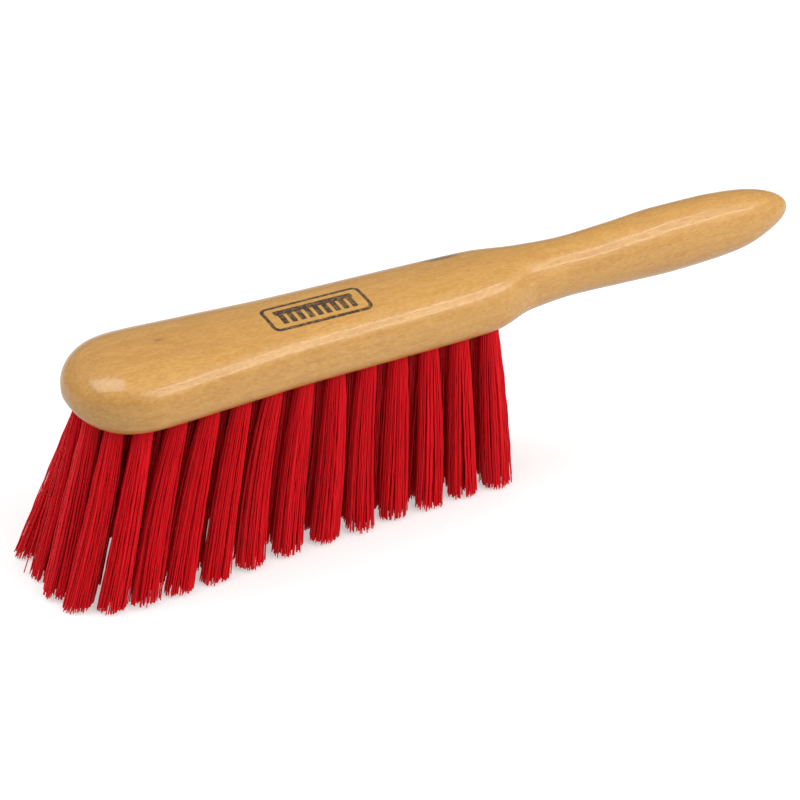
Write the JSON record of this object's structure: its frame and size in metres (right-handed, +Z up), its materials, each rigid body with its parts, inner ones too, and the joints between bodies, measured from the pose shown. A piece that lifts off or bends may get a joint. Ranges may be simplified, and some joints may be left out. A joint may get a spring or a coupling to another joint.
{
  "type": "neck duster brush",
  "caption": "Hand-held neck duster: a lacquered wooden stock with a slim handle and rows of long soft bristle tufts that flex sideways.",
  "frame": {"origin": "centre of the footprint on the plane of the bristle tips", "axes": "+Z up from the tips to the stock, +X from the nose of the head to the end of the handle, +Y across the head"},
  "size_m": [0.302, 0.062, 0.0839],
  "materials": {
    "wood": "clear lacquered light beech, glossy",
    "bristle": "bright red synthetic filament, semi-matte with fine sheen",
    "anchor": "plain drawn wire"
  },
  "bodies": {
    "stock": {"stock": "wood", "anchor_row_1": "anchor", "anchor_row_2": "anchor", "anchor_row_3": "anchor", "anchor_row_4": "anchor"},
    "row_1": {"tuft_1_01": "bristle", "tuft_1_02": "bristle", "tuft_1_03": "bristle", "tuft_1_04": "bristle", "tuft_1_05": "bristle", "tuft_1_06": "bristle", "tuft_1_07": "bristle", "tuft_1_08": "bristle", "tuft_1_09": "bristle", "tuft_1_10": "bristle", "tuft_1_11": "bristle", "tuft_1_12": "bristle", "tuft_1_13": "bristle"},
    "row_2": {"tuft_2_01": "bristle", "tuft_2_02": "bristle", "tuft_2_03": "bristle", "tuft_2_04": "bristle", "tuft_2_05": "bristle", "tuft_2_06": "bristle", "tuft_2_07": "bristle", "tuft_2_08": "bristle", "tuft_2_09": "bristle", "tuft_2_10": "bristle", "tuft_2_11": "bristle", "tuft_2_12": "bristle", "tuft_2_13": "bristle"},
    "row_3": {"tuft_3_01": "bristle", "tuft_3_02": "bristle", "tuft_3_03": "bristle", "tuft_3_04": "bristle", "tuft_3_05": "bristle", "tuft_3_06": "bristle", "tuft_3_07": "bristle", "tuft_3_08": "bristle", "tuft_3_09": "bristle", "tuft_3_10": "bristle", "tuft_3_11": "bristle", "tuft_3_12": "bristle", "tuft_3_13": "bristle"},
    "row_4": {"tuft_4_01": "bristle", "tuft_4_02": "bristle", "tuft_4_03": "bristle", "tuft_4_04": "bristle", "tuft_4_05": "bristle", "tuft_4_06": "bristle", "tuft_4_07": "bristle", "tuft_4_08": "bristle", "tuft_4_09": "bristle", "tuft_4_10": "bristle", "tuft_4_11": "bristle", "tuft_4_12": "bristle", "tuft_4_13": "bristle"}
  },
  "joints": [
    {"name": "row_1_flex", "type": "hinge", "parent": "stock", "child": "row_1", "pos_m": [0, -0.01334, 0.06], "axis": [1, 0, 0], "range_deg": [-12, 12], "stiffness_Nm_per_rad": 0.25},
    {"name": "row_2_flex", "type": "hinge", "parent": "stock", "child": "row_2", "pos_m": [0, -0.00528, 0.06], "axis": [1, 0, 0], "range_deg": [-12, 12], "stiffness_Nm_per_rad": 0.25},
    {"name": "row_3_flex", "type": "hinge", "parent": "stock", "child": "row_3", "pos_m": [0, 0.00528, 0.06], "axis": [1, 0, 0], "range_deg": [-12, 12], "stiffness_Nm_per_rad": 0.25},
    {"name": "row_4_flex", "type": "hinge", "parent": "stock", "child": "row_4", "pos_m": [0, 0.01334, 0.06], "axis": [1, 0, 0], "range_deg": [-12, 12], "stiffness_Nm_per_rad": 0.25}
  ],
  "couplings": [
    {"joint": "row_2_flex", "follows": "row_1_flex", "ratio": 1},
    {"joint": "row_3_flex", "follows": "row_1_flex", "ratio": 1},
    {"joint": "row_4_flex", "follows": "row_1_flex", "ratio": 1}
  ]
}
